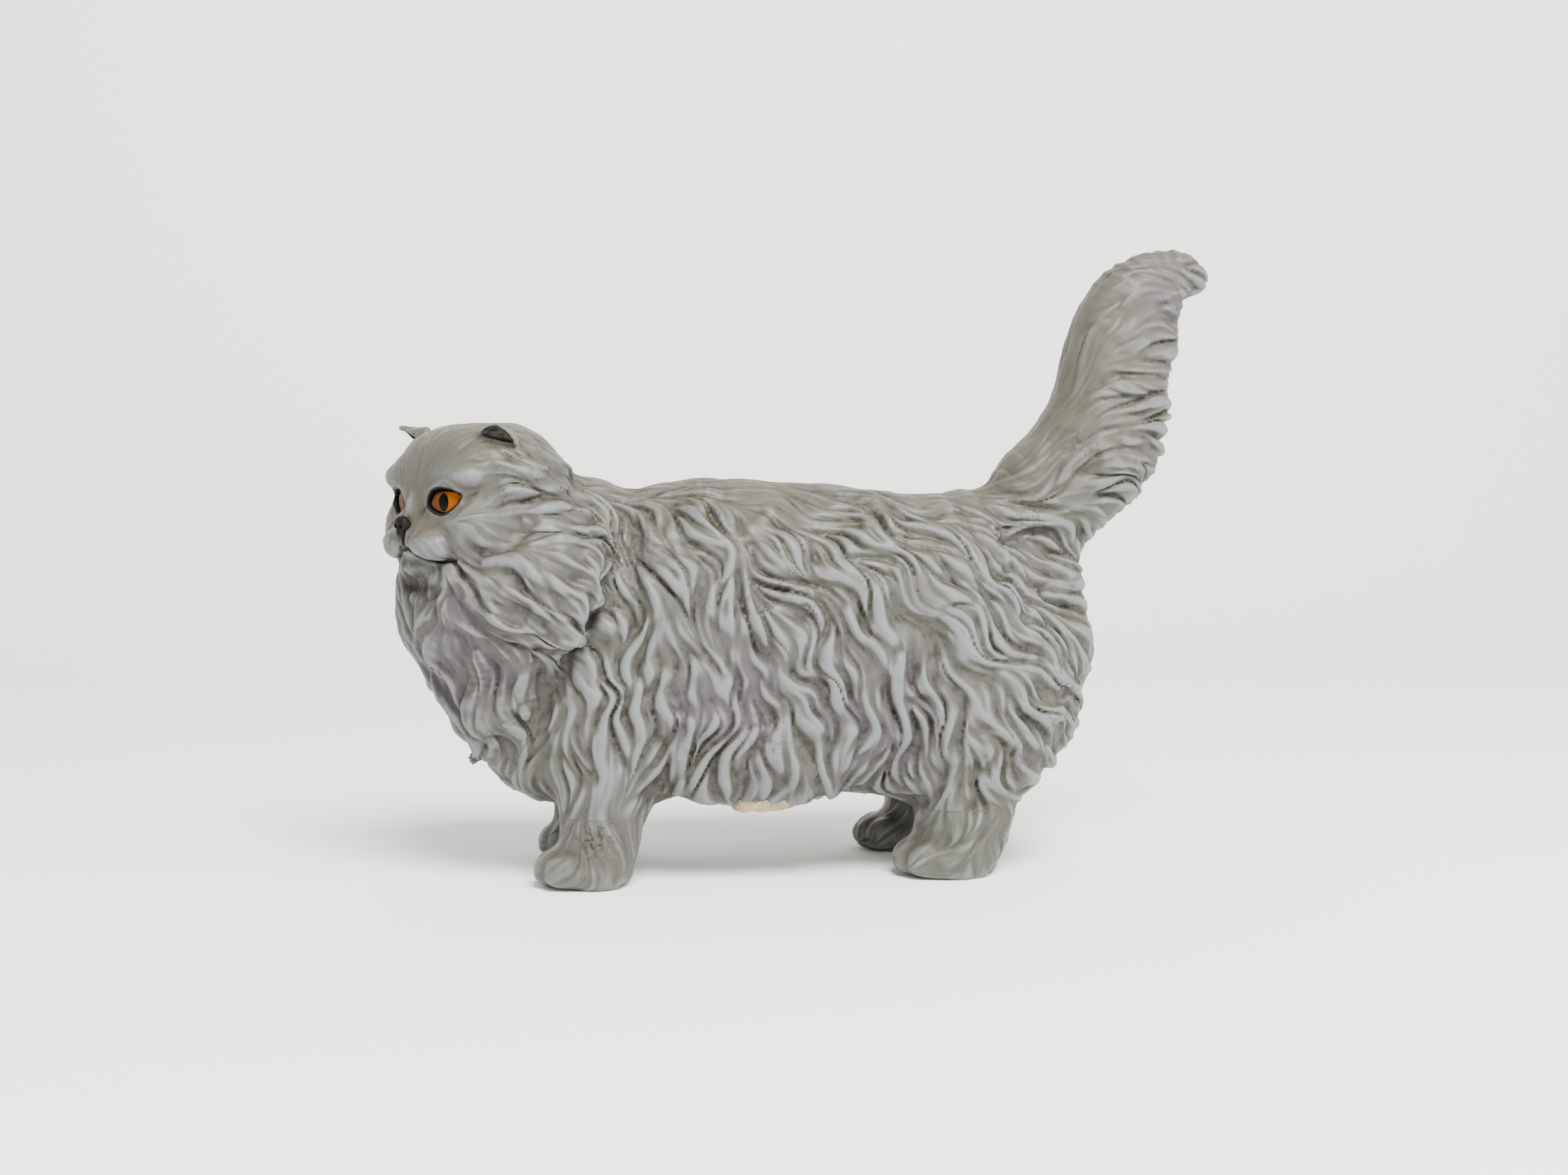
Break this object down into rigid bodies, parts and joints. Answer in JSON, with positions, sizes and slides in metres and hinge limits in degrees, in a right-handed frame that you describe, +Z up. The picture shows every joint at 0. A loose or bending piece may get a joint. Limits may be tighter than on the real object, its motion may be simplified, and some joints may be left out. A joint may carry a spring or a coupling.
{
  "type": "cat figurine",
  "caption": "Standing long-haired cat figurine in matte bisque ceramic, with a raised plume tail, its head turned to its left and enamel eyes.",
  "frame": {"origin": "on the shelf, under the middle of the bounding box", "axes": "+Z up, the cat faces -X, and its left side is towards -Y"},
  "size_m": [0.1456, 0.0468, 0.1094],
  "materials": {
    "bisque": "matte bisque, pale grey-green on the ridges of the fur with a grey-brown wash in its grooves",
    "amber_enamel": "satin amber-orange enamel, with a dark rim line",
    "black_enamel": "glossy black enamel",
    "brown_enamel": "satin dark brown enamel",
    "plaster": "crumbly beige plaster filler"
  },
  "bodies": {
    "root": {"torso": "bisque", "head": "bisque", "tail": "bisque", "front_left_leg": "bisque", "front_right_leg": "bisque", "hind_left_leg": "bisque", "hind_right_leg": "bisque", "left_ear": "bisque", "right_ear": "bisque", "left_eye": "amber_enamel", "right_eye": "amber_enamel", "left_pupil": "black_enamel", "right_pupil": "black_enamel", "nose": "brown_enamel", "vent_plug": "plaster"}
  },
  "joints": []
}
